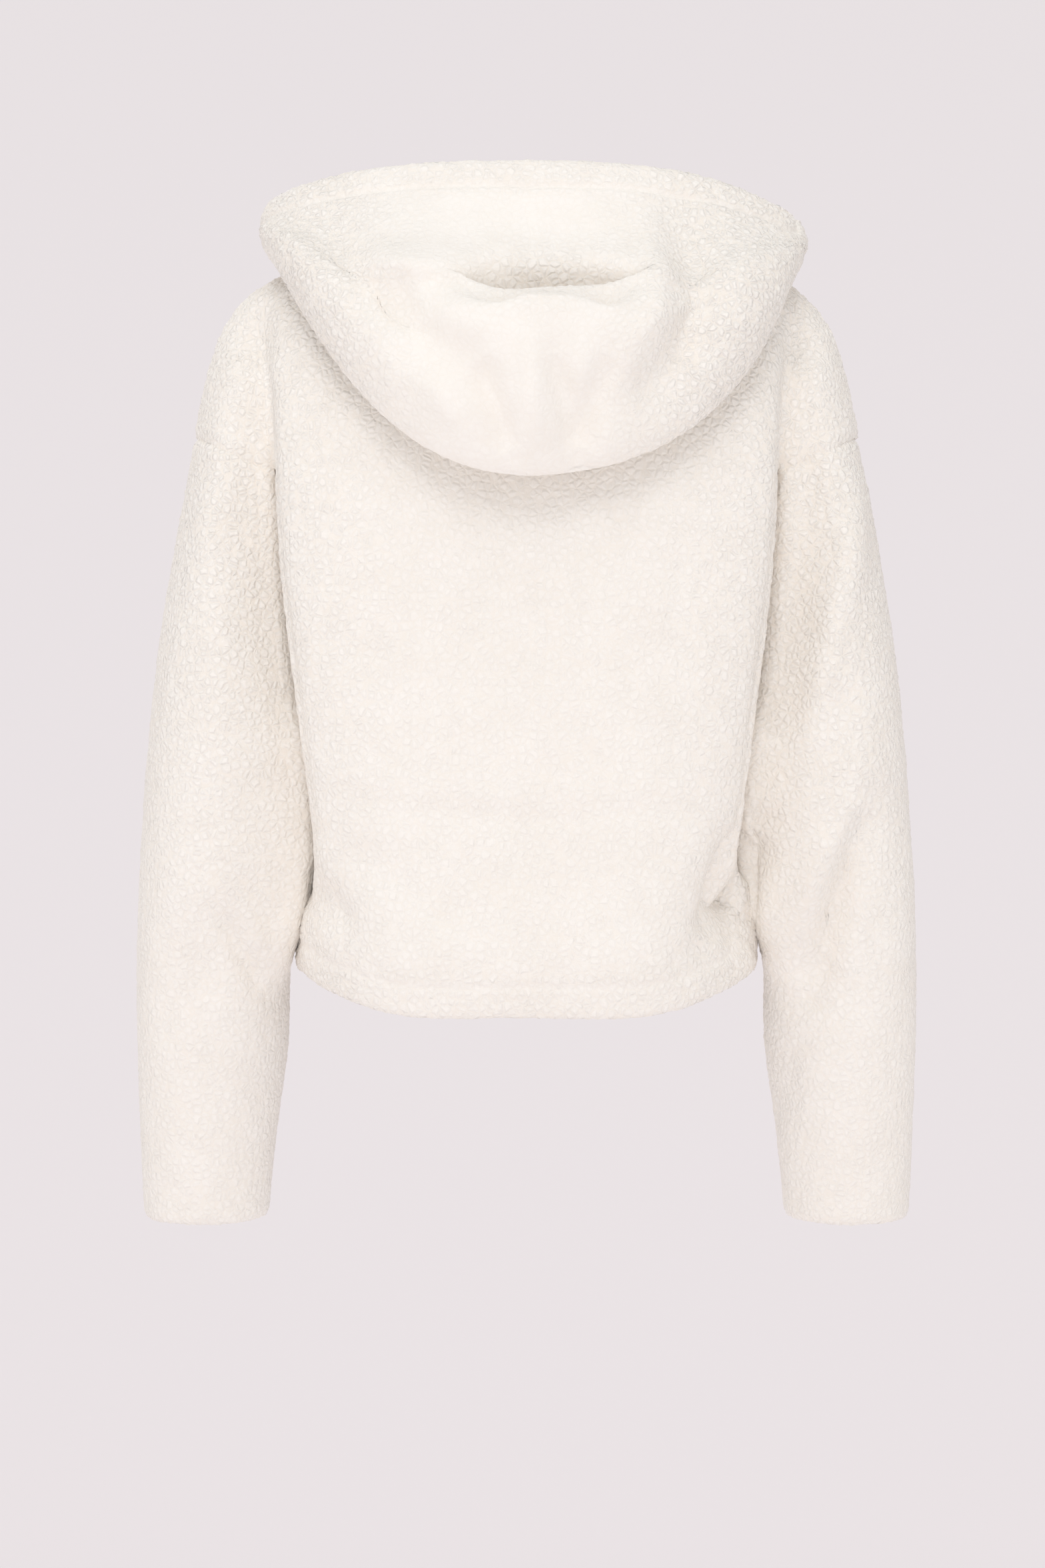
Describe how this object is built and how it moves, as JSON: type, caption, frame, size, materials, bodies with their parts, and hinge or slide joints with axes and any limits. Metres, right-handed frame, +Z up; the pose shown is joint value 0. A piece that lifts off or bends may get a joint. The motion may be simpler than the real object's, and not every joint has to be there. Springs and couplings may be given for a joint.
{
  "type": "zip-up hooded sweat jacket",
  "caption": "Cropped zip-up hooded jacket in curled fleece, worn shape with arms down and hood lying back, open at neck, hem and cuffs.",
  "frame": {"origin": "on the centre plane, level with the wearer's shoulder points, where the shoulders carry the jacket", "axes": "+Z up; the front faces -Y; the wearer's left side is +X"},
  "size_m": [0.516, 0.291, 0.6903],
  "materials": {
    "fleece": "cream curled pile, matt",
    "zip_tape": "cream woven tape and moulded teeth, matt",
    "zip_metal": "smooth pale metal, half gloss"
  },
  "bodies": {
    "jacket": {"back": "fleece", "front_left": "fleece", "front_right": "fleece", "sleeve_left": "fleece", "sleeve_right": "fleece", "hood_left": "fleece", "hood_right": "fleece", "zip_strip": "zip_tape", "zip_slider": "zip_metal", "zip_box": "zip_metal"},
    "pull_tab": {"zip_pull_tab": "zip_metal"}
  },
  "joints": [
    {"name": "pull_tab_swing", "type": "hinge", "parent": "jacket", "child": "pull_tab", "pos_m": [0, -0.0861, -0.06838], "axis": [-1, 0, 0], "range_deg": [0, 150]}
  ]
}
